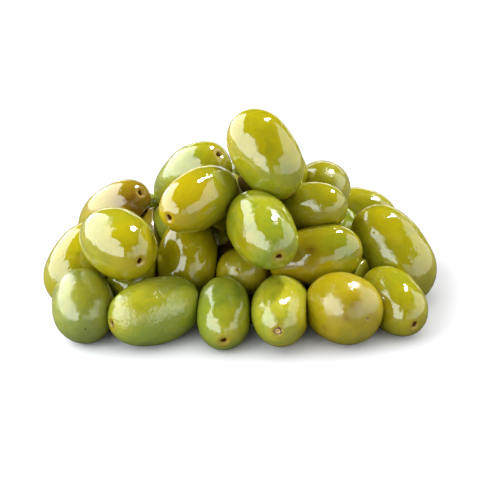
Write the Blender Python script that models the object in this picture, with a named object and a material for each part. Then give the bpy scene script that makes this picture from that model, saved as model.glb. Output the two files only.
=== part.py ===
# A heap of large green olives as it lies on a flat surface, fused into one solid.
# A plain core fills the middle, and every olive that shows from any side stands out
# of it at its true size, with a small pit where its stem was.
# The origin is the middle of the heap's flat underside, with +X to the right,
# +Y away from the front and +Z up, in metres.
import math
import random

import bmesh
import bpy
from mathutils import Matrix, Vector

MM = 0.001

# One olive's mesh
SIDES = 16                # faces round the fruit
BANDS = 9                 # bands of faces from the stem end to the tip
STEM_TAPER = 0.05         # share by which the stem end is slimmer than the tip
PIT_RADIUS = 1.6 * MM     # rim of the pit that the stem left
PIT_DEPTH = 1.1 * MM
UNEVEN = 0.025            # share by which a fruit is out of round

# The core under the fruit: a low dome, and a lobe that carries the top ones
DOME_MIDDLE = (0.0, 3 * MM, 0.0)
DOME_HALF = (45 * MM, 29 * MM, 20 * MM)
LOBE_MIDDLE = (8 * MM, 4 * MM, 24 * MM)
LOBE_HALF = (15 * MM, 12 * MM, 18 * MM)

# The underside is one flat plane. The lowest fruit reach a little below it and are cut there,
# which gives each a small flat spot to rest on.
FLOOR_SINK = 0.5 * MM
NEAR_FLOOR = 1.5 * MM     # a fruit whose underside is lower than this rests on the plane

# x, y and z of each olive's middle, its length and width, and where its stem end
# points: anticlockwise from +X, and up from level. Millimetres and degrees.
FRONT_ROW = [
    (-49.5, -32, 10, 28, 20.5, 100, 5),
    (-27, -36.5, 10.5, 32, 21.3, -145, -2),
    (-5.5, -35, 9, 28, 18.2, -88, -8),
    (12.5, -35.5, 9.7, 31, 19.6, -97, 0),
    (33, -35.5, 11.3, 26, 23, -55, 5),
    (49.7, -27, 9.6, 30, 19, -68, -6),
]
SECOND_ROW = [
    (-52.5, -6.5, 12.5, 31, 23, 60, 32),
    (0.5, -12.5, 10.5, 28, 18, 85, -35),
    (52, -3, 15.5, 36, 24, 134, 42),
]
SECOND_LAYER = [
    (-18.5, -8, 14, 29, 21, -100, -20),
    (-38.3, -23.5, 27.5, 32, 22, -60, 2),
    (24.5, -16.5, 20, 31, 19.6, 185, -11),
    (-43.5, 14, 22, 32.5, 20, -28, 32),
]
UPPER_LAYER = [
    (7.5, -23, 32, 32, 21.3, -72, -5),
    (-13, -13, 38.7, 34, 20, -120, -1),
    (23.5, -3.5, 32.5, 27.5, 18.5, 155, -15),
    (-16.5, 22, 31, 35, 22.5, -39, 46),
    (28, 18, 29, 29, 19.7, 95, -20),
    (9, -3, 50.5, 32, 22, -51, -43),
]
IN_THE_GAPS = [
    (-30.5, 0, 18, 26, 17, 80, 10),
    (-6, 6, 14, 28, 18, 60, -30),
    (36.5, 8, 17.5, 27, 17, 60, 0),
    (-20.5, 4, 21.5, 28, 18, 120, -20),
    (-12, -2, 26, 26, 17, 60, 0),
    (-34, -16, 11, 26, 17, 70, 0),
    (41, -12, 9, 26, 17, 100, 0),
]
BACK = [
    (45, 35, 10.5, 28, 21.5, 149, 4),
    (-46, 34, 9.8, 29, 20, 110, 0),
    (-21, 41, 10, 30, 20.5, 60, 0),
    (2.5, 41.5, 10.5, 27, 21.5, 40, -5),
    (25, 43, 9.8, 28, 20, 95, 0),
    (51, 17, 9.3, 27, 19, 15, 0),
    (-18, 19, 10, 28, 20, 100, 0),
    (8, 22, 10, 28, 20, 20, 0),
    (32, 20, 10, 28, 19, 60, 0),
    (-32, 24, 16, 28, 18, 30, -10),
    (7, 29, 27, 29, 20, 20, 0),
    (11, 15, 39, 28, 19, 130, 5),
]
OLIVES = FRONT_ROW + SECOND_ROW + SECOND_LAYER + UPPER_LAYER + IN_THE_GAPS + BACK

SKIN_COLOUR = (0.33, 0.36, 0.045, 1.0)
SKIN_ROUGHNESS = 0.25


def clear_scene():
    for old in list(bpy.data.objects):
        bpy.data.objects.remove(old, do_unlink=True)


def skin_material():
    skin = bpy.data.materials.new("olive_skin")
    skin.use_nodes = True
    shader = skin.node_tree.nodes["Principled BSDF"]
    shader.inputs["Base Color"].default_value = SKIN_COLOUR
    shader.inputs["Roughness"].default_value = SKIN_ROUGHNESS
    shader.inputs["Metallic"].default_value = 0.0
    return skin


def stem_direction(heading, rise):
    heading = math.radians(heading)
    rise = math.radians(rise)
    return Vector((math.cos(heading) * math.cos(rise), math.sin(heading) * math.cos(rise), math.sin(rise)))


def olive_rings(half_long, half_wide):
    """Distance along the axis and radius of each ring, from the pit's rim to the last ring before the tip."""
    start = math.asin(PIT_RADIUS / half_wide)
    rings = []
    for step in range(BANDS):
        # bands are narrower toward both ends, where the fruit curves most
        share = step / BANDS
        angle = start + (math.pi - start) * (share - 0.05 * math.sin(2 * math.pi * share))
        along = half_long * math.cos(angle)
        radius = half_wide * math.sin(angle) * (1 - STEM_TAPER * math.cos(angle))
        rings.append((along, radius))
    return rings


def add_olive(bm, row, draw):
    x, y, z, length, width, heading, rise = row
    half_long = length / 2 * MM
    half_wide = width / 2 * MM
    middle = Vector((x * MM, y * MM, z * MM))
    tilt = math.radians(rise)
    below = math.hypot(half_long * math.sin(tilt), half_wide * math.cos(tilt))
    if middle.z - below < NEAR_FLOOR:
        middle.z = below - FLOOR_SINK
    out_of_round = 1 + draw.uniform(-UNEVEN, UNEVEN)
    roll = draw.uniform(0, math.tau)

    rings = []
    for along, radius in olive_rings(half_long, half_wide):
        ring = []
        for side in range(SIDES):
            turn = math.tau * side / SIDES
            across = radius * math.cos(turn) * out_of_round
            upright = radius * math.sin(turn) / out_of_round
            ring.append(bm.verts.new((across, upright, along)))
        rings.append(ring)
    pit_floor = bm.verts.new((0, 0, rings[0][0].co.z - PIT_DEPTH))
    tip = bm.verts.new((0, 0, -half_long))

    for side in range(SIDES):
        after = (side + 1) % SIDES
        bm.faces.new((pit_floor, rings[0][side], rings[0][after]))
        bm.faces.new((tip, rings[-1][after], rings[-1][side]))
        for upper, lower in zip(rings, rings[1:]):
            bm.faces.new((upper[after], upper[side], lower[side], lower[after]))

    verts = [pit_floor, tip] + [vert for ring in rings for vert in ring]
    turn_to_axis = Vector((0, 0, 1)).rotation_difference(stem_direction(heading, rise)).to_matrix().to_4x4()
    place = Matrix.Translation(middle) @ turn_to_axis @ Matrix.Rotation(roll, 4, "Z")
    bmesh.ops.transform(bm, matrix=place, verts=verts)


def mesh_object(name, bm):
    bmesh.ops.recalc_face_normals(bm, faces=bm.faces)
    mesh = bpy.data.meshes.new(name)
    bm.to_mesh(mesh)
    bm.free()
    made = bpy.data.objects.new(name, mesh)
    bpy.context.scene.collection.objects.link(made)
    return made


def dome(name, middle, half):
    bm = bmesh.new()
    bmesh.ops.create_icosphere(bm, subdivisions=2, radius=1.0)
    bmesh.ops.scale(bm, vec=half, verts=bm.verts)
    bmesh.ops.translate(bm, vec=middle, verts=bm.verts)
    return mesh_object(name, bm)


def floor_block():
    """Everything under the resting plane, as a block to cut away."""
    bm = bmesh.new()
    bmesh.ops.create_cube(bm, size=1.0)
    bmesh.ops.scale(bm, vec=(0.3, 0.3, 0.06), verts=bm.verts)
    bmesh.ops.translate(bm, vec=(0, 0, -0.03), verts=bm.verts)
    return mesh_object("floor_block", bm)


def apply_boolean(target, operation, block=None, collection=None):
    change = target.modifiers.new(operation.lower(), "BOOLEAN")
    change.operation = operation
    change.solver = "EXACT"
    if collection:
        change.operand_type = "COLLECTION"
        change.collection = collection
    else:
        change.object = block
    bpy.context.view_layer.update()
    graph = bpy.context.evaluated_depsgraph_get()
    joined = bpy.data.meshes.new_from_object(target.evaluated_get(graph))
    target.modifiers.clear()
    target.data = joined


def keep_main_body(target):
    """Drops loose scraps and the inner shells of hollows, so that one solid body is left."""
    bm = bmesh.new()
    bm.from_mesh(target.data)
    bmesh.ops.dissolve_degenerate(bm, dist=0.002 * MM, edges=bm.edges)
    bm.faces.ensure_lookup_table()
    unseen = set(bm.faces)
    bodies = []
    while unseen:
        body = {unseen.pop()}
        outermost = list(body)
        while outermost:
            face = outermost.pop()
            for edge in face.edges:
                for beside in edge.link_faces:
                    if beside in unseen:
                        unseen.remove(beside)
                        body.add(beside)
                        outermost.append(beside)
        bodies.append(body)
    main = max(bodies, key=len)
    scraps = [face for face in bm.faces if face not in main]
    bmesh.ops.delete(bm, geom=scraps, context="FACES")
    bmesh.ops.triangulate(bm, faces=bm.faces)
    bm.to_mesh(target.data)
    bm.free()


def build_heap():
    heap = dome("olive_heap", DOME_MIDDLE, DOME_HALF)
    fruit = bpy.data.collections.new("loose_fruit")
    bpy.context.scene.collection.children.link(fruit)

    lobe = dome("lobe", LOBE_MIDDLE, LOBE_HALF)
    members = [lobe]
    draw = random.Random(7)
    for number, row in enumerate(OLIVES):
        bm = bmesh.new()
        add_olive(bm, row, draw)
        members.append(mesh_object("olive_%02d" % number, bm))
    for member in members:
        bpy.context.scene.collection.objects.unlink(member)
        fruit.objects.link(member)
        member.hide_render = True
        member.display_type = "WIRE"

    apply_boolean(heap, "UNION", collection=fruit)
    block = floor_block()
    apply_boolean(heap, "DIFFERENCE", block=block)
    for used in members + [block]:
        bpy.data.objects.remove(used, do_unlink=True)
    bpy.data.collections.remove(fruit)

    keep_main_body(heap)
    heap.data.materials.clear()
    heap.data.materials.append(skin_material())
    for face in heap.data.polygons:
        face.material_index = 0
    return heap


clear_scene()
build_heap()
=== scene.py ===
# A heap of large green olives, still wet, on a white table.
# Each olive is turned from its own length, width and lie, pressed flat where it meets
# its neighbours, and joined with the others of its own colour. The olives are written in
# millimetres and degrees, and mm turns them into Blender's metres. Lamps, table and camera
# stand in metres.
import math
import random

import bmesh
import bpy
import numpy as np
from mathutils import Matrix, Vector


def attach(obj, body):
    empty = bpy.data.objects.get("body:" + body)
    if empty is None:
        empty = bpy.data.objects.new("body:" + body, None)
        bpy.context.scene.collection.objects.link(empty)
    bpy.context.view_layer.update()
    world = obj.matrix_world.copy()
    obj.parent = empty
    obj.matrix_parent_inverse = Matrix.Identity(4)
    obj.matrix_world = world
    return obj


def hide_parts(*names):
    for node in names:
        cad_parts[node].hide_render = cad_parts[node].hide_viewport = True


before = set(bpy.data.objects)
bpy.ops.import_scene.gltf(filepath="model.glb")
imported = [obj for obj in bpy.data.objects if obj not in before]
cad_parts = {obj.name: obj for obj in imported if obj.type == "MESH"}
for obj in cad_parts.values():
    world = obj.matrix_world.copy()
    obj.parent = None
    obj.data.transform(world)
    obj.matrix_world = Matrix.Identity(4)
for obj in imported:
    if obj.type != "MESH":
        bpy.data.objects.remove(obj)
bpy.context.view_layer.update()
mm = 0.001
heapNode = "olive_heap"
print("frame loaded, nodes:", len(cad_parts))


# The shape that all olives share

fruitShape = {
    # radii of the rings close round the stem, and of those round the tip
    "stemRadii": [0.2, 0.38, 0.52, 0.64, 0.75, 0.87, 1.0, 1.15, 1.32, 1.52, 1.75, 2.0, 2.35, 2.8, 3.4],
    "tipRadii": [2.2, 1.5, 1.0, 0.7, 0.5, 0.35, 0.2],
    "stemTaper": 0.05,  # share by which the stem end is slimmer
    "stemFullness": 2.3,  # 2 is an ellipse, and more is blunter
    "tipFullness": 2.12,
    "dimpleRadius": 1.45,  # hollow round the stem
    "dimpleDepth": 0.5,
    "scarShare": 0.8,  # share of the hollow that is left where the stem's stub fills the hole
    "shallowDepth": 0.25,  # hollow of an olive that turns its tip to the front
    "lipRadius": 1.95,  # the hollow's raised edge
    "lipWidth": 0.45,
    "lipHeight": 0.09,
    "holeRadii": (0.36, 0.96),  # hole that the stem left, at its bottom and at its top
    "holeDepth": 1.5,
    "holeUneven": 0.16,  # how lobed it is
    "lobedWithin": 1.7,
    "tipPrick": 0.14,  # tiny mark at the other end
    "prickWidth": 0.45,
    "outOfRound": 0.022,
    "bend": 0.45,  # how far the middle leans out of the straight axis
    "swells": [(5, 17.0, 0.14), (7, 8.0, 0.045), (8, 4.2, 0.016)],  # waves, wavelength, height
    "swellRange": (0.75, 1.35),  # how the wavelengths vary
    "dents": (2, 3.4, 0.09),  # how many, how wide, how deep
    "dentAngles": (0.9, 2.4),  # radians from the stem between which they lie
    "neatStem": (0.8, 4.0),  # swells and dents grow from a share to full between these radii
    "neatShare": 0.25,
    "notHere": 20.0,  # distance given to the skin of one half from the mark at the other end
}

pressing = {
    "balls": 11,  # along each axis, to stand for the olive when looking for contacts
    "ballInset": 0.75,  # half widths from the end at which the outermost ball stands
    "outlineSteps": 91,  # places on the outline that a ball is fitted to
    "sameSpot": 1.0,  # balls closer than this have no clear side to be pressed from
    "shownGives": 0.45,  # most that an olive in view is flattened by a hidden one
    "roundEdge": 0.22,  # how softly a flat turns into the round skin
    "edgeReach": 6,  # how many of those the soft edge reaches
    "floorSink": 0.3,
    "nearFloor": 1.5,  # an olive whose underside is lower than this lies on the table
}


def stemDirection(heading, rise):
    heading, rise = math.radians(heading), math.radians(rise)
    level = math.cos(rise)
    return np.array([math.cos(heading) * level, math.sin(heading) * level, math.sin(rise)])


def smoothStep(edgeLow, edgeHigh, value):
    share = np.clip((value - edgeLow) / (edgeHigh - edgeLow), 0.0, 1.0)
    return share * share * (3 - 2 * share)


def stemDepth(radius, stem):
    # how far the skin is sunk at this distance from the stem's axis
    shape = fruitShape
    if stem == "tip":
        return shape["shallowDepth"] * np.exp(-((radius / shape["dimpleRadius"]) ** 2))
    depth = shape["dimpleDepth"] * np.exp(-((radius / shape["dimpleRadius"]) ** 3))
    depth = depth - shape["lipHeight"] * np.exp(-(((radius - shape["lipRadius"]) / shape["lipWidth"]) ** 2))
    if stem == "scar":
        return depth * shape["scarShare"]
    return depth + shape["holeDepth"] * (1 - smoothStep(*shape["holeRadii"], radius))


def outline(angle, halfLong, halfWide):
    # distance along the axis and radius of the plain fruit, at an angle from the stem
    stemSide = np.cos(angle) > 0
    power = 2 / np.where(stemSide, fruitShape["stemFullness"], fruitShape["tipFullness"])
    along = halfLong * np.sign(np.cos(angle)) * np.abs(np.cos(angle)) ** power
    radius = halfWide * np.abs(np.sin(angle)) ** power * (1 - fruitShape["stemTaper"] * np.cos(angle))
    return along, radius


def profile(halfLong, halfWide, bands, stem):
    # ring by ring from the stem to the tip: distance along the axis, radius
    shape = fruitShape
    stemShares = np.array([0.0] + shape["stemRadii"]) / halfWide
    tipShares = np.array(shape["tipRadii"] + [0.0]) / halfWide
    stemAngles = np.arcsin(stemShares ** (shape["stemFullness"] / 2))
    tipAngles = math.pi - np.arcsin(tipShares ** (shape["tipFullness"] / 2))
    between = np.linspace(stemAngles[-1], tipAngles[0], bands + 1)[1:-1]
    along, radius = outline(np.concatenate([stemAngles, between, tipAngles]), halfLong, halfWide)
    radius[0] = radius[-1] = 0.0
    stemSide = along > 0
    along = along - np.where(stemSide, stemDepth(radius, stem), 0.0)
    prick = shape["tipPrick"] * np.exp(-((radius / shape["prickWidth"]) ** 2))
    along = along + np.where(stemSide, 0.0, prick)
    return along, radius


def ringPoints(along, radius, sides, draw):
    # the points of every ring, with the stem's own point before them and the tip's after
    shape = fruitShape
    oval = 1 + draw.uniform(-1, 1) * shape["outOfRound"]
    ringRadius = np.repeat(radius[1:-1], sides)
    ringAlong = np.repeat(along[1:-1], sides)
    turn = np.tile(np.arange(sides) * math.tau / sides, len(along) - 2)
    # the hole is a little oval and lobed
    lobes = np.sin(2 * turn + draw.uniform(0, 6)) + 0.5 * np.sin(3 * turn + draw.uniform(0, 6))
    nearStem = (ringAlong > 0) * np.exp(-((ringRadius / shape["lobedWithin"]) ** 4))
    ringRadius = ringRadius * (1 + shape["holeUneven"] * lobes * nearStem)
    across = ringRadius * np.cos(turn) * oval
    upright = ringRadius * np.sin(turn) / oval
    points = np.stack([across, upright, ringAlong], axis=1)
    return np.vstack([[0, 0, along[0]], points, [0, 0, along[-1]]])


def swellHeights(points, draw):
    # low waves in random directions, so that no two olives are alike
    height = np.zeros(len(points))
    for count, wavelength, size in fruitShape["swells"]:
        for _ in range(count):
            way = np.array([draw.gauss(0, 1) for _ in range(3)])
            length = wavelength * draw.uniform(*fruitShape["swellRange"])
            way = way / np.linalg.norm(way) * math.tau / length
            height += size / math.sqrt(count) * np.sin(points @ way + draw.uniform(0, math.tau))
    return height


def dentHeights(points, halfLong, halfWide, draw):
    count, width, deepest = fruitShape["dents"]
    height = np.zeros(len(points))
    for _ in range(count):
        turn = draw.uniform(0, math.tau)
        angle = draw.uniform(*fruitShape["dentAngles"])
        level = halfWide * math.sin(angle)
        spot = np.array([level * math.cos(turn), level * math.sin(turn), halfLong * math.cos(angle)])
        reach = width * draw.uniform(0.6, 1.5)
        away = np.linalg.norm(points - spot, axis=1)
        height -= deepest * draw.uniform(0.3, 1.0) * np.exp(-((away / reach) ** 2))
    return height


def unevenSkin(plain, fromAxis, halfLong, halfWide, draw):
    # the plain fruit with its swells, dents and bend. The stem's hollow keeps its neat shape
    shape = fruitShape
    outward = plain / np.array([halfWide**2, halfWide**2, halfLong**2])
    outward /= np.linalg.norm(outward, axis=1)[:, None]
    height = swellHeights(plain, draw) + dentHeights(plain, halfLong, halfWide, draw)
    kept = shape["neatShare"] + (1 - shape["neatShare"]) * smoothStep(*shape["neatStem"], fromAxis)
    uneven = plain + outward * (height * kept)[:, None]
    uneven[:, 0] += draw.uniform(0.2, 1.0) * shape["bend"] * (1 - (plain[:, 2] / halfLong) ** 2)
    return uneven


def latheFaces(sides, rings, closed):
    # a fan round the first point, bands between the rings, and where it is closed a fan round the last
    faces = []
    for side in range(sides):
        after = (side + 1) % sides
        faces.append((0, 1 + side, 1 + after))
        if closed:
            last = 1 + (rings - 1) * sides
            faces.append((1 + rings * sides, last + after, last + side))
        for ring in range(rings - 1):
            upper, lower = 1 + ring * sides, 1 + (ring + 1) * sides
            faces.append((upper + after, upper + side, lower + side, lower + after))
    return faces


def ballsInside(halfLong, halfWide):
    # the largest ball that fits inside at each of some places along the axis
    angles = np.linspace(0, math.pi, pressing["outlineSteps"])
    skinAlong, skinRadius = outline(angles, halfLong, halfWide)
    reach = halfLong - halfWide * pressing["ballInset"]
    ballAlong = np.linspace(-reach, reach, pressing["balls"])
    ballRadius = np.hypot(skinAlong[None] - ballAlong[:, None], skinRadius[None]).min(axis=1)
    return ballAlong, ballRadius


def turnOlive(name, row, detail, draw, shown):
    x, y, z, length, width, heading, rise, ripeness, blushAndShade, stem, (wetness, grain) = row
    sides, bands = detail
    halfLong, halfWide = length / 2, width / 2
    tilt = math.radians(rise)
    below = math.hypot(halfLong * math.sin(tilt), halfWide * math.cos(tilt))
    if z - below < pressing["nearFloor"]:
        z = below - pressing["floorSink"]
    middle = np.array([x, y, z])
    axis = stemDirection(heading, rise)

    along, radius = profile(halfLong, halfWide, bands, stem)
    plain = ringPoints(along, radius, sides, draw)
    fromAxis = np.concatenate([[0], np.repeat(radius[1:-1], sides), [0]])
    uneven = unevenSkin(plain, fromAxis, halfLong, halfWide, draw)
    turned = Vector((0, 0, 1)).rotation_difference(Vector(axis)).to_matrix()
    turned = np.array(turned @ Matrix.Rotation(draw.uniform(0, math.tau), 3, "Z"))
    world = uneven @ turned.T + middle

    stemSide = plain[:, 2] > 0
    notHere = fruitShape["notHere"]
    fromStem, fromTip = np.where(stemSide, fromAxis, notHere), np.where(stemSide, notHere, fromAxis)
    ballAlong, ballRadius = ballsInside(halfLong, halfWide)
    return {
        "name": name,
        "shown": shown,
        "world": world,
        "start": world.copy(),  # as it was before it was pressed
        "faces": latheFaces(sides, len(along) - 2, True),
        "plain": plain,
        "axisShare": plain[:, 2] / halfLong,
        "marks": np.stack([fromStem, fromTip, np.full(len(plain), grain)], axis=1),
        "stem": stem,
        "middle": middle,
        "axis": axis,
        "length": length,
        "ballCentres": middle + ballAlong[:, None] * axis,
        "ballRadii": ballRadius,
        "ripeness": ripeness,
        "blushAndShade": blushAndShade,
        "wetness": wetness,
        "shift": np.array([draw.uniform(-400, 400) for _ in range(3)]),  # its own place in the noise
    }


def shareOverlap(first, second, overlap):
    # how much each of two olives gives: an olive in view gives less than a hidden one
    if first["shown"] == second["shown"]:
        return overlap / 2, overlap / 2
    less = min(overlap / 2, pressing["shownGives"])
    return (less, overlap - less) if first["shown"] else (overlap - less, less)


def flatten(fruit, way, ball, gives):
    # presses back what reaches past a plane across this way, with a soft edge to the flat
    soft = pressing["roundEdge"]
    flat = fruit["ballCentres"][ball] + way * (fruit["ballRadii"][ball] - gives)
    past = (fruit["world"] - flat) @ way
    near = past > -pressing["edgeReach"] * soft
    kept = -soft * np.logaddexp(0, -past[near] / soft)
    fruit["world"][near] += (kept - past[near])[:, None] * way


def pressPair(first, second):
    gap = first["ballCentres"][:, None] - second["ballCentres"][None]
    between = np.linalg.norm(gap, axis=2)
    clear = between - first["ballRadii"][:, None] - second["ballRadii"][None]
    one, two = np.unravel_index(clear.argmin(), clear.shape)
    overlap = -clear[one, two]
    if overlap <= 0 or between[one, two] < pressing["sameSpot"]:
        return False
    toSecond = -gap[one, two] / between[one, two]
    firstGives, secondGives = shareOverlap(first, second, overlap)
    flatten(first, toSecond, one, firstGives)
    flatten(second, -toSecond, two, secondGives)
    return True


def pressTogether(fruits):
    touching = 0
    for index, first in enumerate(fruits):
        for second in fruits[:index]:
            reach = (first["length"] + second["length"]) / 2
            if np.linalg.norm(first["middle"] - second["middle"]) < reach:
                touching += pressPair(first, second)
    for fruit in fruits:
        fruit["world"][:, 2] = np.maximum(fruit["world"][:, 2], 0.0)  # none sinks into the table
    return touching


# The olives, by colour
# Each row: x, y and z of the middle, length and width, heading and rise of the stem end,
# ripeness (0 green to 1 golden) at the stem end and at the tip, brown blush (on some olives
# deep in the gaps partly painted shade), what is left of the stem, and how wet and how grainy the skin is

freshOlives = {
    "seed": 8,
    "rows": {
        "frontLeft": (-26.8, -36, 10.5, 32, 20.7, -145, 1, (0.50, 0.30), 0.0, "hole", (0.60, 2.2)),
        "frontMiddleLeft": (-5.5, -35, 9, 28, 18, -88, -11, (0.35, 0.25), 0.0, "hole", (0.80, 0.7)),
        "frontMiddleRight": (13, -34, 10, 35.5, 19.4, -95, 6, (0.60, 0.55), 0.0, "scar", (0.65, 0.5)),
    },
    # patches: what, where on the olive (heading and rise from its middle), width in mm, strength
    "patches": {
        "frontLeft": [("green", -95, -10, 8, 0.4), ("gold", -135, 30, 8, 0.35), ("gold", -80, 60, 8, 0.5)],
        "frontMiddleLeft": [("gold", -76, 3, 5, 0.6), ("gold", -60, 30, 6, 0.3)],
        "frontMiddleRight": [
            ("brown", -45, 5, 7, 0.2),
            ("gold", -55, 0, 9, 0.5),
            ("gold", -95, 60, 8, 0.6),
        ],
    },
    "green": (0.25, 0.34, 0.035),
    "gold": (0.47, 0.44, 0.020),
    "deep": (0.16, 0.24, 0.018),
    "deepShare": 0.4,
}

greenOlives = {
    "seed": 21,
    "rows": {
        "centre": (7.2, -23, 32.6, 34, 20.8, -73, -7, (0.35, 0.60), 0.0, "hole", (0.80, 0.5)),
        "topLeft": (-16.5, 22, 31, 35, 22.5, -39, 46, (0.55, 0.15), 0.0, "hole", (0.80, 0.4)),
        "underTop": (-20.5, 4, 21.5, 28, 18, 120, -20, (0.1, 0.1), 0.0, "hole", (0.5, 0.6)),
        # painted shade: a blush of 2.0 darkens this olive deep in the gap, partly its own brown and partly
        # the gap's shade
        "gapLeft": (-30.5, 6, 16, 26, 17, 80, 10, (0.6, 0.6), 2.0, "hole", (0.3, 0.6)),
        "gapRight": (33.5, 14, 14.6, 27, 17, 85, 0, (0.0, 0.0), 0.0, "hole", (0.8, 0.3)),
    },
    "patches": {
        "centre": [("brown", -120, 5, 4, 0.3), ("gold", -115, 0, 6, 0.5), ("green", -85, -15, 7, 0.5)],
        "topLeft": [("brown", -30, 30, 6, 0.2), ("gold", -50, 50, 8, 0.4)],
    },
    "green": (0.26, 0.32, 0.020),
    "gold": (0.43, 0.38, 0.005),
    "deep": (0.15, 0.20, 0.010),
    "deepShare": 0.4,
}

yellowOlives = {
    "seed": 34,
    "rows": {
        "top": (8.2, -3, 50.1, 32, 21.2, -46, -43, (0.25, 0.85), 0.0, "hole", (0.85, 0.3)),
        "leftShoulder": (-38.7, -23.5, 27.5, 31.5, 21.8, -60, 2, (0.90, 0.40), 0.0, "hole", (0.90, 0.25)),
        "leftEnd": (-51.8, -8.5, 13, 32, 23.6, 60, 32, (0.95, 0.8), 0.0, "hole", (0.75, 0.2)),
        "secondLeft": (-17.4, -12.5, 15.8, 32, 20.4, -100, -65, (0.6, 1.0), 0.0, "hole", (0.95, 0.2)),
        "frontFarRight": (49.4, -27, 9.6, 29.5, 18.6, -68, -6, (0.7, 0.8), 0.0, "hole", (0.80, 0.5)),
        "rightEnd": (51.5, -3, 15.5, 36, 23.4, 134, 42, (0.75, 0.60), 0.0, "hole", (0.75, 0.5)),
        "upperRight": (22.6, -3.5, 31.6, 27, 17, 155, -15, (0.5, 0.6), 0.0, "hole", (0.75, 0.5)),
        "backTopRight": (28, 18, 29, 29, 19.7, 95, -20, (0.5, 0.6), 0.0, "hole", (0.55, 0.6)),
        "behindRight": (43.6, 35, 10.5, 28, 21.5, 149, 4, (0.6, 0.6), 0.0, "hole", (0.65, 0.4)),
    },
    "patches": {
        "top": [("gold", -90, 45, 12, 0.4), ("green", -100, -25, 9, 0.3)],
        "leftShoulder": [("green", -138, -3, 8, 0.3), ("gold", -70, 25, 7, 0.5), ("gold", -62, 0, 6, 0.5)],
        "frontFarRight": [("gold", -125, 12, 5, 0.6), ("green", -45, 79, 6, 0.4)],
        "rightEnd": [("gold", -133, 64, 8, 0.6), ("green", -154, 20, 10, 0.5)],
        "upperRight": [("brown", -85, -15, 8, 0.3)],
        "secondLeft": [("gold", -53, 51, 8, 0.4), ("green", -80, -30, 7, 0.4)],
    },
    "green": (0.29, 0.32, 0.015),
    "gold": (0.44, 0.37, 0.004),
    "deep": (0.18, 0.185, 0.006),
    "deepShare": 0.35,
}

goldenOlives = {
    "seed": 55,
    "rows": {
        "frontRight": (32.5, -35.5, 11.3, 26, 22.8, 122, -8, (1.0, 1.0), 0.0, "tip", (0.35, 0.5)),
        "aboveCentreLeft": (-13.4, -13, 38.9, 34.5, 19.3, -121, -1, (1.0, 0.30), 0.0, "hole", (0.90, 0.2)),
    },
    "patches": {
        "frontRight": [
            ("brown", -83, 23, 6, 0.25),
            ("brown", -73, 29, 2, 0.3),
            ("brown", -89, 12, 0.9, 0.6),
            ("brown", -122, -10, 1.2, 0.5),
            ("green", -40, -35, 9, 0.4),
            ("gold", -142, 29, 9, 0.5),
        ],
        "aboveCentreLeft": [
            ("gold", -96, 36, 10, 0.4),
            ("green", 5, 23, 9, 0.5),
            ("green", -61, -9, 7, 0.4),
        ],
    },
    "green": (0.28, 0.30, 0.015),
    "gold": (0.47, 0.365, 0.004),
    "deep": (0.26, 0.22, 0.006),
    "deepShare": 0.25,
}

brownTintedOlives = {
    "seed": 89,
    "rows": {
        "upperLeftBack": (-43.5, 14, 21.4, 34.5, 19.4, -38, 42, (0.9, 0.9), 0.1, "hole", (0.90, 0.3)),
        "secondRight": (24.5, -16.5, 20, 31, 19.6, 185, -11, (0.8, 0.55), 0.0, "hole", (0.90, 0.3)),
        "middleGap": (0.5, -12.5, 10.5, 28, 18, 85, -35, (0.5, 0.5), 0.4, "hole", (0.30, 0.4)),
        "deepGap": (-6, 6, 14, 28, 18, 60, -30, (0.3, 0.3), 0.6, "hole", (0.5, 0.4)),
    },
    "patches": {
        "upperLeftBack": [
            ("brown", -45, 38, 9, 0.6),
            ("brown", -29, 12, 8, 1.0),
            ("brown", -60, 20, 7, 0.3),
        ],
        "secondRight": [
            ("brown", -105, 37, 1.2, 0.8),
            ("brown", -128, -6, 8, 0.4),
            ("green", -30, 30, 8, 0.6),
        ],
    },
    "green": (0.28, 0.30, 0.010),
    "gold": (0.46, 0.35, 0.004),
    "deep": (0.22, 0.17, 0.005),
    "deepShare": 0.3,
}

dullOlives = {
    "seed": 13,
    "rows": {
        "frontFarLeft": (-50.2, -32, 10, 28, 20.5, 100, 5, (0.35, 0.3), 0.0, "hole", (0.40, 0.35)),
    },
    "patches": {
        "frontFarLeft": [("gold", -55, 40, 9, 0.6), ("green", -85, -15, 8, 0.4)],
    },
    "green": (0.26, 0.31, 0.050),
    "gold": (0.42, 0.39, 0.020),
    "deep": (0.17, 0.20, 0.022),
    "deepShare": 0.4,
}

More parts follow.
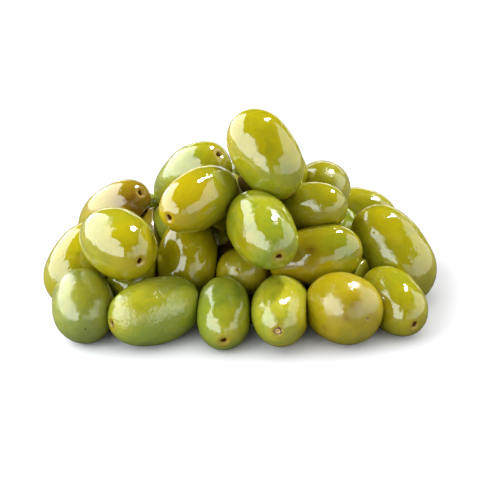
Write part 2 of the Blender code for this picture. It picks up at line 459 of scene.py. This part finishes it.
backOlives = {
    "seed": 144,
    "rows": {
        "back1": (-46, 34, 9.8, 29, 20, 110, 0, (0.4, 0.6), 0.0, "hole", (0.8, 0.3)),
        "back2": (-21, 41, 10, 30, 20.5, 60, 0, (0.9, 0.4), 0.0, "hole", (0.7, 0.5)),
        "back3": (2.5, 41.5, 10.5, 27, 21.5, 40, -5, (0.2, 0.2), 0.0, "hole", (0.5, 0.6)),
        "back4": (25, 43, 9.8, 28, 20, 95, 0, (0.9, 0.9), 0.2, "hole", (0.6, 0.3)),
        "back5": (51, 17, 9.3, 27, 19, 15, 0, (0.3, 0.6), 0.0, "hole", (0.9, 0.3)),
        "back6": (-18, 19, 10, 28, 20, 100, 0, (0.3, 0.3), 0.1, "hole", (0.7, 0.4)),
        "back7": (8, 22, 10, 28, 20, 20, 0, (0.3, 0.3), 0.1, "hole", (0.7, 0.4)),
        "back8": (32, 20, 10, 28, 19, 60, 0, (0.3, 0.3), 0.0, "hole", (0.7, 0.4)),
        "back9": (-32, 24, 16, 28, 18, 30, -10, (0.2, 0.7), 0.0, "hole", (0.8, 0.4)),
        "back10": (7, 29, 27, 29, 20, 20, 0, (0.7, 0.2), 0.0, "hole", (0.9, 0.3)),
        "back11": (11, 15, 39, 28, 19, 130, 5, (0.5, 0.6), 0.0, "hole", (0.6, 0.5)),
        "under1": (-12, -2, 26, 26, 17, 60, 0, (0.3, 0.3), 0.5, "hole", (0.6, 0.4)),
        "under2": (-34, -16, 11, 26, 17, 70, 0, (0.5, 0.5), 0.3, "hole", (0.6, 0.4)),
        "under3": (41, -12, 9, 26, 17, 100, 0, (0.4, 0.4), 0.3, "hole", (0.6, 0.4)),
        "under4": (-48, 7, 7.5, 25, 15, 20, 0, (0.6, 0.3), 0.2, "hole", (0.6, 0.4)),
        "under5": (-39, -1.5, 17.5, 27, 17, 75, 5, (0.4, 0.7), 0.4, "hole", (0.6, 0.4)),
        # painted shade: a blush of 1.2 turns this olive, in the dark gap under the top one, a dark brown,
        # partly its own and partly the gap's shade
        "under6": (-3.5, 6, 30.5, 27, 17, 105, 0, (0.2, 0.4), 1.2, "hole", (0.4, 0.4)),
        "under7": (45, 7, 8.5, 27, 17, 80, 0, (0.5, 0.4), 0.3, "hole", (0.6, 0.4)),
        "under8": (-40, 20, 9, 26, 17, 15, 0, (0.3, 0.3), 0.4, "hole", (0.6, 0.4)),
    },
    "patches": {
        "back4": [("brown", 110, 40, 7, 0.5)],
        "back2": [("green", 100, -10, 8, 0.5), ("gold", 60, 40, 8, 0.4)],
    },
    "green": (0.27, 0.32, 0.018),
    "gold": (0.43, 0.37, 0.005),
    "deep": (0.16, 0.19, 0.008),
    "deepShare": 0.4,
}

families = {
    "fresh_olives": freshOlives,
    "green_olives": greenOlives,
    "yellow_olives": yellowOlives,
    "golden_olives": goldenOlives,
    "brown_tinted_olives": brownTintedOlives,
    "dull_olives": dullOlives,
    "back_olives": backOlives,
}

detailShown = (88, 54)  # faces round and along an olive that the front shows
detailBack = (64, 36)


# Nodes

def feed(tree, socket, value):
    # a link where the value is a socket, and a plain setting otherwise
    if isinstance(value, bpy.types.NodeSocket):
        tree.links.new(value, socket)
    elif isinstance(value, tuple) and len(value) == 3 and socket.type == "RGBA":
        socket.default_value = (*value, 1.0)
    else:
        socket.default_value = value


def mathNode(tree, operation, first, second=0.0, clamp=False):
    node = tree.nodes.new("ShaderNodeMath")
    node.operation = operation
    node.use_clamp = clamp
    feed(tree, node.inputs[0], first)
    feed(tree, node.inputs[1], second)
    return node.outputs[0]


def times(tree, first, second):
    return mathNode(tree, "MULTIPLY", first, second)


def plus(tree, first, second):
    return mathNode(tree, "ADD", first, second)


def swing(tree, noise, size):
    # noise between 0 and 1 turned into a swing to both sides of nothing
    return times(tree, mathNode(tree, "SUBTRACT", noise, 0.5), size)


def rangeNode(tree, value, low, high, toLow=0.0, toHigh=1.0):
    node = tree.nodes.new("ShaderNodeMapRange")
    node.interpolation_type = "SMOOTHSTEP"
    for socket, number in zip(node.inputs[:5], (value, low, high, toLow, toHigh)):
        feed(tree, socket, number)
    return node.outputs[0]


def mixNode(tree, share, first, second):
    node = tree.nodes.new("ShaderNodeMix")
    node.data_type = "RGBA"
    feed(tree, node.inputs[0], share)
    feed(tree, node.inputs[6], first)
    feed(tree, node.inputs[7], second)
    return node.outputs[2]


def noiseNode(tree, point, scale, detail, roughness, distortion=0.0):
    node = tree.nodes.new("ShaderNodeTexNoise")
    feed(tree, node.inputs["Vector"], point)
    feed(tree, node.inputs["Scale"], scale)
    node.inputs["Detail"].default_value = detail
    node.inputs["Roughness"].default_value = roughness
    node.inputs["Distortion"].default_value = distortion
    return node.outputs["Fac"]


def noiseOver(tree, point, width, finer, *kind):
    # noise whose patches are the given width, made so many times finer
    return noiseNode(tree, point, mathNode(tree, "DIVIDE", finer, width), *kind)


def spotNode(tree, point, scale):
    # distance to the nearest scattered spot, and a random number for that spot
    node = tree.nodes.new("ShaderNodeTexVoronoi")
    feed(tree, node.inputs["Vector"], point)
    feed(tree, node.inputs["Scale"], scale)
    parts = tree.nodes.new("ShaderNodeSeparateColor")
    tree.links.new(node.outputs["Color"], parts.inputs[0])
    return node.outputs["Distance"], parts.outputs[0]


def attributeNode(tree, name):
    node = tree.nodes.new("ShaderNodeAttribute")
    node.attribute_name = name
    return node.outputs["Vector"]


def partsNode(tree, vector):
    node = tree.nodes.new("ShaderNodeSeparateXYZ")
    tree.links.new(vector, node.inputs[0])
    return node.outputs


def bumpNode(tree, height, distance):
    node = tree.nodes.new("ShaderNodeBump")
    node.inputs["Distance"].default_value = distance
    feed(tree, node.inputs["Height"], height)
    return node.outputs[0]


def newMaterial(name):
    material = bpy.data.materials.new(name)
    material.use_nodes = True
    return material, material.node_tree, material.node_tree.nodes["Principled BSDF"]


def newGroup(name, inputs, outputs):
    group = bpy.data.node_groups.new(name, "ShaderNodeTree")
    for label in inputs:
        kind = "NodeSocketVector" if label == "Point" else "NodeSocketFloat"
        group.interface.new_socket(label, in_out="INPUT", socket_type=kind)
    for label in outputs:
        group.interface.new_socket(label, in_out="OUTPUT", socket_type="NodeSocketFloat")
    return group, group.nodes.new("NodeGroupInput").outputs, group.nodes.new("NodeGroupOutput").inputs


def placeGroup(tree, group, **values):
    node = tree.nodes.new("ShaderNodeGroup")
    node.node_tree = group
    for label, value in values.items():
        feed(tree, node.inputs[label], value)
    return node.outputs


ripenessNoise = {
    # how many times finer than a patch, detail, roughness, distortion
    "broad": (1.0, 2.0, 0.55, 0.6),
    "fine": (4.5, 3.0, 0.6),
    "streaks": (5.0, 2.0, 0.5, 0.4),
    "depth": (1.6, 3.0, 0.6, 0.8),
    "fineSwing": 0.45,
    "streakSwing": 0.6,
    "streakSquash": (1.0, 1.0, 0.3),  # less along the axis, so that streaks run from stem to tip
    "depthRange": (0.45, 0.75),
}


def ripenessGroup():
    # patches of riper and greener skin, several millimetres across
    look = ripenessNoise
    inputs = ["Point", "Ripeness", "Patch", "Strength"]
    group, given, out = newGroup("patchy ripeness", inputs, ["Ripeness", "Depth"])
    point, patch = given["Point"], given["Patch"]
    broad = noiseOver(group, point, patch, *look["broad"])
    fine = noiseOver(group, point, patch, *look["fine"])
    squashed = group.nodes.new("ShaderNodeVectorMath")
    squashed.operation = "MULTIPLY"
    feed(group, squashed.inputs[0], point)
    squashed.inputs[1].default_value = look["streakSquash"]
    streaks = noiseOver(group, squashed.outputs[0], patch, *look["streaks"])
    ripple = plus(group, swing(group, fine, look["fineSwing"]), swing(group, streaks, look["streakSwing"]))
    change = times(group, plus(group, swing(group, broad, 1.0), ripple), given["Strength"])
    feed(group, out["Ripeness"], mathNode(group, "ADD", given["Ripeness"], change, clamp=True))
    depth = noiseOver(group, point, patch, *look["depth"])
    feed(group, out["Depth"], rangeNode(group, depth, *look["depthRange"]))
    return group


fleckShape = {
    "smallest": 0.5,  # share of "Size" that the smallest fleck has
    "core": 0.45,  # share of a fleck that is fully coloured
}


def fleckGroup():
    # small scattered spots: "Spacing" apart, "Size" across, and only the given share of them
    group, given, out = newGroup("scattered flecks", ["Point", "Spacing", "Size", "Share"], ["Mask"])
    distance, chance = spotNode(group, given["Point"], mathNode(group, "DIVIDE", 1.0, given["Spacing"]))
    reach = mathNode(group, "DIVIDE", given["Size"], given["Spacing"])
    reach = times(group, reach, plus(group, chance, fleckShape["smallest"]))
    spot = rangeNode(group, distance, reach, times(group, reach, fleckShape["core"]))
    kept = mathNode(group, "LESS_THAN", chance, given["Share"])
    feed(group, out["Mask"], times(group, spot, kept))
    return group


filmNoise = {
    # how many times finer than a patch or a ripple, detail, roughness, distortion
    "patches": (1.0, 4.0, 0.62, 0.5),
    "swell": (0.3, 1.0, 0.5),
    "ripples": (1.0, 2.0, 0.5),
    "grain": (2.6, 2.0, 0.55),
    "dryLevel": 0.70,  # noise above this is wet on the driest olive
    "wetGain": 0.42,  # and by so much less on the wettest
    "filmEdge": 0.07,
    "swellHeight": 1.6,
    "rippleLeast": 0.35,  # ripples that even a smooth skin has
    "grainHeight": 0.55,
    "grainThins": 1.35,  # grain shows at this less the film
    # beads of brine: how close, the edge and middle of each, the share of them, how high
    "beads": (0.42, 0.26, 0.05, 0.3, 0.7),
}


def filmGroup():
    # the wet film: where it lies, and the small waves and bare pores that break up its shine
    look = filmNoise
    inputs = ["Point", "Wetness", "Grain", "Patch", "Ripple"]
    group, given, out = newGroup("wet film", inputs, ["Wet", "Height"])
    point, width = given["Point"], given["Ripple"]
    patches = noiseOver(group, point, given["Patch"], *look["patches"])
    bare = mathNode(group, "SUBTRACT", look["dryLevel"], times(group, given["Wetness"], look["wetGain"]))
    wet = rangeNode(group, patches, bare, plus(group, bare, look["filmEdge"]))
    feed(group, out["Wet"], wet)
    # long swells, then ripples, then the skin's own fine grain where the film is thin
    swell = noiseOver(group, point, width, *look["swell"])
    ripples = noiseOver(group, point, width, *look["ripples"])
    ripples = times(group, ripples, plus(group, given["Grain"], look["rippleLeast"]))
    grain = noiseOver(group, point, width, *look["grain"])
    thin = mathNode(group, "SUBTRACT", look["grainThins"], wet)
    grain = times(group, times(group, grain, thin), given["Grain"])
    height = plus(group, ripples, times(group, swell, look["swellHeight"]))
    height = plus(group, height, times(group, grain, look["grainHeight"]))
    close, edge, middle, share, high = look["beads"]
    distance, chance = spotNode(group, point, close)
    kept = mathNode(group, "LESS_THAN", chance, share)
    bead = times(group, rangeNode(group, distance, edge, middle), kept)
    feed(group, out["Height"], plus(group, height, times(group, bead, high)))
    return group


stemMarks = {
    # distance from the mark's middle where it begins, and where it is full
    "hole": (1.15, 0.65),
    "collar": (3.3, 1.2),
    "dot": (0.5, 0.25),
    "ragged": (0.9, 2.0, 0.5),  # noise that frays the edges: scale, detail, roughness
    "fray": 0.5,
    "dotFray": 0.3,  # share of it at the tip's small dot
}


def stemGroup():
    # what surrounds the stem: the dark hole, partly the scar's own brown and partly painted shade, the
    # paler collar, and the tip's dot
    look = stemMarks
    group, given, out = newGroup("stem marks", ["Point", "Stem", "Tip"], ["Hole", "Collar", "Dot"])
    ragged = swing(group, noiseNode(group, given["Point"], *look["ragged"]), look["fray"])
    stem = plus(group, given["Stem"], ragged)
    feed(group, out["Hole"], rangeNode(group, stem, *look["hole"]))
    feed(group, out["Collar"], rangeNode(group, stem, *look["collar"]))
    tip = plus(group, given["Tip"], times(group, ragged, look["dotFray"]))
    feed(group, out["Dot"], rangeNode(group, tip, *look["dot"]))
    return group


skinLook = {
    "patch": 11.0,  # width of the riper patches
    "patchStrength": 1.2,
    # the blush's brown, on some olives deep in the gaps partly painted shade
    "blushColour": (0.23, 0.115, 0.006),
    "blushShare": 0.3,  # how brown a blush of 1 turns the whole skin
    "paleFleck": (0.50, 0.50, 0.12),
    "paleFlecks": {"Spacing": 1.5, "Size": 0.22, "Share": 0.8},
    "paleShare": 0.35,
    "brownFleck": (0.16, 0.075, 0.010),
    "brownFlecks": {"Spacing": 5.0, "Size": 0.4, "Share": 0.22},
    "brownShare": 0.55,
    "collarColour": (0.47, 0.30, 0.012),
    "collarShare": 0.55,
    # the hole's dark brown: partly the scar's own colour, partly painted shade in the recess
    "holeBrownAndShade": (0.15, 0.055, 0.006),
    "filmPatch": 6.0,
    "ripple": 1.3,
    "rippleHeight": 0.085,
    "roughWet": 0.06,
    "roughDry": 0.25,
    "ior": 1.85,
    "glow": 0.5,  # share of the light that goes through the flesh
    "glowReach": 2.6,
    "glowColours": (1.0, 0.8, 0.15),  # how far red, green and blue go
}


def oliveSkin(name, family, groups):
    look = skinLook
    skin, tree, shader = newMaterial(name)
    point = attributeNode(tree, "skinPoint")
    ripeness, blushAndShade, wetness = partsNode(tree, attributeNode(tree, "skinTone"))
    fromStem, fromTip, grain = partsNode(tree, attributeNode(tree, "skinMarks"))

    patchy = {"Ripeness": ripeness, "Patch": look["patch"], "Strength": look["patchStrength"]}
    ripe = placeGroup(tree, groups["ripeness"], Point=point, **patchy)
    colour = mixNode(tree, ripe["Ripeness"], family["green"], family["gold"])
    colour = mixNode(tree, times(tree, ripe["Depth"], family["deepShare"]), colour, family["deep"])
    # brown blush, on some olives deep in the gaps partly painted shade
    colour = mixNode(tree, blushAndShade, colour, look["blushColour"])
    for fleck, flecks, share in (
        ("paleFleck", "paleFlecks", "paleShare"),
        ("brownFleck", "brownFlecks", "brownShare"),
    ):
        mask = placeGroup(tree, groups["flecks"], Point=point, **look[flecks])["Mask"]
        colour = mixNode(tree, times(tree, mask, look[share]), colour, look[fleck])
    stem = placeGroup(tree, groups["stem"], Point=point, Stem=fromStem, Tip=fromTip)
    colour = mixNode(tree, times(tree, stem["Collar"], look["collarShare"]), colour, look["collarColour"])
    colour = mixNode(tree, stem["Dot"], colour, look["brownFleck"])
    # the hole's dark brown is partly painted shade deep in the recess
    colour = mixNode(tree, stem["Hole"], colour, look["holeBrownAndShade"])
    feed(tree, shader.inputs["Base Color"], colour)

    wet = {"Wetness": wetness, "Grain": grain, "Patch": look["filmPatch"], "Ripple": look["ripple"]}
    film = placeGroup(tree, groups["film"], Point=point, **wet)
    rough = rangeNode(tree, film["Wet"], 0.0, 1.0, look["roughDry"], look["roughWet"])
    feed(tree, shader.inputs["Roughness"], rough)
    feed(tree, shader.inputs["Normal"], bumpNode(tree, film["Height"], look["rippleHeight"] * mm))

    shader.inputs["IOR"].default_value = look["ior"]
    shader.inputs["Subsurface Weight"].default_value = look["glow"]
    shader.inputs["Subsurface Radius"].default_value = look["glowColours"]
    shader.inputs["Subsurface Scale"].default_value = look["glowReach"] * mm
    return skin


# Putting the pieces together

def addObject(name, data):
    made = bpy.data.objects.new(name, data)
    bpy.context.scene.collection.objects.link(made)
    return made


def standForHeap(piece):
    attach(piece, "root")
    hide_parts(heapNode)


def meshPiece(name, points, faces, material, layers):
    # a smooth mesh from points in millimetres, with a vector for each point in each layer
    mesh = bpy.data.meshes.new(name)
    mesh.from_pydata((points * mm).tolist(), [], faces)
    for label, values in layers.items():
        layer = mesh.attributes.new(label, "FLOAT_VECTOR", "POINT")
        layer.data.foreach_set("vector", values.astype(np.float32).ravel())
    mesh.polygons.foreach_set("use_smooth", [True] * len(mesh.polygons))
    mesh.materials.append(material)
    mesh.update()
    piece = addObject(name, mesh)
    standForHeap(piece)
    return piece


def paintPatches(fruit, patches):
    # ripeness, blush and wetness at each point, with each patch added round its middle
    share = (fruit["axisShare"] + 1) / 2
    stemRipe, tipRipe = fruit["ripeness"]
    ripe = tipRipe + (stemRipe - tipRipe) * share
    blushAndShade = np.full(len(share), fruit["blushAndShade"] * skinLook["blushShare"])
    away = fruit["start"] - fruit["middle"]
    way = away / np.linalg.norm(away, axis=1)[:, None]
    for kind, heading, rise, width, strength in patches:
        nearest = np.argmax(way @ stemDirection(heading, rise))
        distance = np.linalg.norm(away - away[nearest], axis=1)
        cover = strength * np.exp(-((distance / width) ** 2))
        if kind == "brown":
            blushAndShade += cover
        else:
            ripe += cover if kind == "gold" else -cover
    return np.stack([ripe, blushAndShade, np.full(len(share), fruit["wetness"])], axis=1)


def joinFamily(name, fruits, patches, skin):
    faces = []
    start = 0
    for fruit in fruits:
        faces.extend(tuple(start + corner for corner in face) for face in fruit["faces"])
        start += len(fruit["world"])
    points = np.vstack([fruit["world"] for fruit in fruits])
    layers = {
        "skinPoint": np.vstack([fruit["plain"] + fruit["shift"] for fruit in fruits]),
        "skinTone": np.vstack([paintPatches(fruit, patches.get(fruit["name"], [])) for fruit in fruits]),
        "skinMarks": np.vstack([fruit["marks"] for fruit in fruits]),
    }
    return meshPiece(name, points, faces, skin, layers)


heapCore = {
    "domes": [((0, 3, 0), (45, 29, 20)), ((8, 4, 24), (15, 12, 18))],  # middle and half size of each
    "voxel": 1.6,
    # painted shade: these dark browns stand for the shade deep inside the heap
    "colour": (0.045, 0.026, 0.003),
    "shadePatchColour": (0.10, 0.06, 0.006),
    "patches": (120.0, 3.0, 0.6),  # noise over metres: scale, detail, roughness
    "patchRange": (0.4, 0.7),
    "roughness": 0.7,
    "specular": 0.02,
}


def buildCore():
    # the plain middle that carries the olives, coloured in dark browns as painted shade where a gap lets it
    # show
    bm = bmesh.new()
    for middle, half in heapCore["domes"]:
        made = bmesh.ops.create_icosphere(bm, subdivisions=4, radius=1.0)
        for vert in made["verts"]:
            vert.co = Vector([middle[k] + vert.co[k] * half[k] for k in range(3)]) * mm
    mesh = bpy.data.meshes.new("heap_core")
    bm.to_mesh(mesh)
    bm.free()
    core = addObject("heap_core", mesh)
    remesh = core.modifiers.new("oneSkin", "REMESH")
    remesh.mode = "VOXEL"
    remesh.voxel_size = heapCore["voxel"] * mm
    bpy.context.view_layer.update()
    joined = bpy.data.meshes.new_from_object(core.evaluated_get(bpy.context.evaluated_depsgraph_get()))
    core.modifiers.clear()
    core.data = joined
    for vert in joined.vertices:
        vert.co.z = max(vert.co.z, 0.0)
    for face in joined.polygons:
        face.use_smooth = True

    coreShade, tree, shader = newMaterial("painted_shade_core")
    place = tree.nodes.new("ShaderNodeTexCoord").outputs["Object"]
    patches = rangeNode(tree, noiseNode(tree, place, *heapCore["patches"]), *heapCore["patchRange"])
    colour = mixNode(tree, patches, heapCore["colour"], heapCore["shadePatchColour"])
    feed(tree, shader.inputs["Base Color"], colour)
    shader.inputs["Roughness"].default_value = heapCore["roughness"]
    shader.inputs["Specular IOR Level"].default_value = heapCore["specular"]
    joined.materials.clear()
    joined.materials.append(coreShade)
    standForHeap(core)


stemStub = {
    "seed": 5,
    # radius and height over the bottom of the dimple, from the middle out
    "profile": [
        (0.22, 0.30), (0.42, 0.16), (0.62, 0.20), (0.80, 0.38),
        (0.98, 0.40), (1.12, 0.24), (1.22, -0.05), (1.25, -0.6),
    ],
    "middleHeight": 0.34,
    "sides": 40,
    "uneven": 0.07,
    "chips": 0.05,  # how deep its rim is chipped
    "rimRadius": 0.5,
    "pith": (0.55, 0.34, 0.01),
    "wood": (0.62, 0.46, 0.22),
    "bark": (0.13, 0.035, 0.004),
    "woodEdge": (0.30, 0.50),  # radii between which one turns into the next
    "barkEdge": (0.72, 0.92),
    "speckle": (3.5, 3.0, 0.6),  # noise: scale, detail, roughness
    "fray": 0.5,
    "roughness": (0.3, 0.7, 0.18, 0.5),  # from and to of the speckle, and what they turn into
    "grainHeight": 0.06,
}


def stubWood():
    look = stemStub
    wood, tree, shader = newMaterial("stem_wood")
    point = attributeNode(tree, "stubPoint")
    across, upright, _ = partsNode(tree, point)
    squares = plus(tree, times(tree, across, across), times(tree, upright, upright))
    radius = mathNode(tree, "SQRT", squares)
    speckle = noiseNode(tree, point, *look["speckle"])
    ragged = plus(tree, radius, swing(tree, speckle, look["fray"]))
    colour = mixNode(tree, rangeNode(tree, ragged, *look["woodEdge"]), look["pith"], look["wood"])
    colour = mixNode(tree, rangeNode(tree, ragged, *look["barkEdge"]), colour, look["bark"])
    feed(tree, shader.inputs["Base Color"], colour)
    feed(tree, shader.inputs["Roughness"], rangeNode(tree, speckle, *look["roughness"]))
    feed(tree, shader.inputs["Normal"], bumpNode(tree, speckle, look["grainHeight"] * mm))
    return wood


def buildStub(name, fruit):
    # the broken end of the stem, left in the hollow of one olive
    look = stemStub
    draw = random.Random(look["seed"])
    points = [(0, 0, look["middleHeight"])]
    lobe = draw.uniform(0, math.tau)
    for radius, height in look["profile"]:
        for side in range(look["sides"]):
            turn = math.tau * side / look["sides"]
            uneven = math.sin(3 * turn + lobe) + 0.6 * math.sin(5 * turn + 2 * lobe)
            reach = radius * (1 + look["uneven"] * (uneven + draw.uniform(-0.4, 0.4)))
            chip = look["chips"] * math.sin(4 * turn + lobe) if radius > look["rimRadius"] else 0
            points.append((reach * math.cos(turn), reach * math.sin(turn), height + chip))
    points = np.array(points)
    upright = np.array(Vector((0, 0, 1)).rotation_difference(Vector(fruit["axis"])).to_matrix())
    placed = points @ upright.T + fruit["world"][0]
    faces = latheFaces(look["sides"], len(look["profile"]), False)
    meshPiece(name, placed, faces, stubWood(), {"stubPoint": points})


groups = {"ripeness": ripenessGroup(), "flecks": fleckGroup(), "film": filmGroup(), "stem": stemGroup()}
print("node groups ready")

fruitOf = {}
for familyName, family in families.items():
    draw = random.Random(family["seed"])
    shown = family is not backOlives
    detail = detailShown if shown else detailBack
    rows = family["rows"].items()
    fruitOf[familyName] = [turnOlive(name, row, detail, draw, shown) for name, row in rows]
allFruit = [fruit for fruits in fruitOf.values() for fruit in fruits]
print("olives turned:", len(allFruit), "contacts pressed:", pressTogether(allFruit))

for familyName, family in families.items():
    skin = oliveSkin(familyName + "_skin", family, groups)
    piece = joinFamily(familyName, fruitOf[familyName], family["patches"], skin)
    print(familyName, "faces:", len(piece.data.polygons))
scarred = [fruit for fruit in allFruit if fruit["stem"] == "scar"]
for number, fruit in enumerate(scarred, 1):
    buildStub("stem_stub_%d" % number, fruit)
buildCore()
print("stem stubs:", len(scarred), "and core ready")


# Table, light and camera, in metres

stage = {
    "tableSize": 12.0,
    "tableSeen": (0.93, 0.92, 0.965),
    "tableGives": (0.14, 0.14, 0.14),  # as the olives see it
    "tableRoughness": 0.6,
    "tableSpecular": 0.1,
    "worldGlow": 0.02,
    "overhead": (3.0, 1.5, 1.2),  # soft lamp for the table alone: how wide, how high, radiance
    "lens": 100,  # millimetres
    "sensor": 36,
    "cameraRise": 25,  # degrees above the table
    "cameraAway": 0.45,
    "target": (0, 0, 0.018),
}

# Upright walls of light round the table, and one small bright lamp above it: from and to in degrees
# round from the camera's side (left is minus), from and to in degrees up, metres away, radiance, colour
panels = {
    "sideWindow": (-155, -72, 0, 50, 1.7, 3.8, (0.93, 0.97, 1.0)),
    "frontWindow": (-72, -34, 0, 52, 1.7, 3.8, (0.93, 0.97, 1.0)),
    "frontWindowLow": (-34, -13, 0, 34, 1.7, 3.8, (0.93, 0.97, 1.0)),
    "frontWall": (3, 32, 0, 22, 1.8, 1.0, (0.97, 1.0, 0.98)),
    "rightWall": (32, 75, 0, 37, 1.8, 1.7, (0.97, 1.0, 0.98)),
    "farRightWall": (75, 135, 0, 47, 1.8, 1.6, (0.97, 1.0, 0.98)),
    "key": (142, 149, 48, 56, 2.0, 215.0, (1.0, 0.99, 0.95)),
    "backdrop": (145, 215, 0, 8, 2.4, 2.2, (1.0, 1.0, 1.0)),
}


def aim(thing, place, target):
    thing.location = place
    thing.rotation_euler = (Vector(target) - Vector(place)).to_track_quat("-Z", "Y").to_euler()


def areaLamp(name, wide, high, radiance, colour=(1.0, 1.0, 1.0)):
    light = bpy.data.lights.new(name, "AREA")
    light.shape = "RECTANGLE"
    light.size, light.size_y = wide, high
    light.energy = radiance * math.pi * wide * high
    light.color = colour
    lamp = addObject(name, light)
    lamp.visible_camera = False
    return lamp


def addPanel(name, fromSide, toSide, fromUp, toUp, away, radiance, colour):
    low, high = (away * math.tan(math.radians(up)) for up in (fromUp, toUp))
    wide = 2 * away * math.tan(math.radians(toSide - fromSide) / 2)
    lamp = areaLamp(name, wide, high - low, radiance, colour)
    way = Vector(stemDirection((fromSide + toSide) / 2 - 90, 0))
    place = way * away + Vector((0, 0, (low + high) / 2))
    aim(lamp, place, (0, 0, 0 if fromUp else place.z))
    return lamp


def layTable():
    half = stage["tableSize"] / 2
    corners = [(-half, -half, 0), (half, -half, 0), (half, half, 0), (-half, half, 0)]
    mesh = bpy.data.meshes.new("table_top")
    mesh.from_pydata(corners, [], [(0, 1, 2, 3)])
    table = addObject("table_top", mesh)
    paint, tree, shader = newMaterial("white_table")
    seen = tree.nodes.new("ShaderNodeLightPath").outputs["Is Camera Ray"]
    feed(tree, shader.inputs["Base Color"], mixNode(tree, seen, stage["tableGives"], stage["tableSeen"]))
    shader.inputs["Roughness"].default_value = stage["tableRoughness"]
    shader.inputs["Specular IOR Level"].default_value = stage["tableSpecular"]
    mesh.materials.append(paint)
    return table


def lightWorld():
    # white to the camera, and a faint glow to everything else
    world = bpy.data.worlds.new("studio")
    bpy.context.scene.world = world
    world.use_nodes = True
    tree = world.node_tree
    background = tree.nodes["Background"]
    background.inputs["Color"].default_value = (1, 1, 1, 1)
    seen = tree.nodes.new("ShaderNodeLightPath").outputs["Is Camera Ray"]
    feed(tree, background.inputs["Strength"], mathNode(tree, "MAXIMUM", seen, stage["worldGlow"]))


def setCamera():
    cameraData = bpy.data.cameras.new("camera")
    cameraData.lens = stage["lens"]
    cameraData.sensor_width = stage["sensor"]
    camera = addObject("camera", cameraData)
    target = Vector(stage["target"])
    back = Vector(stemDirection(-90, stage["cameraRise"]))
    aim(camera, target + back * stage["cameraAway"], target)
    bpy.context.scene.camera = camera
    bpy.context.scene.view_settings.view_transform = "Standard"


lamps = {name: addPanel(name, *panel) for name, panel in panels.items()}
table = layTable()
wide, up, radiance = stage["overhead"]
overhead = areaLamp("overhead", wide, wide, radiance)
aim(overhead, (0, 0, up), (0, 0, 0))
# the overhead lamp lights the table alone and the key leaves it out, so the shadows on it stay soft
for lamp, label, state in ((overhead, "table_lit", "INCLUDE"), (lamps["key"], "table_left_out", "EXCLUDE")):
    linked = bpy.data.collections.new(label)
    linked.objects.link(table)
    linked.collection_objects[0].light_linking.link_state = state
    lamp.light_linking.receiver_collection = linked
lightWorld()
setCamera()
print("stage ready")
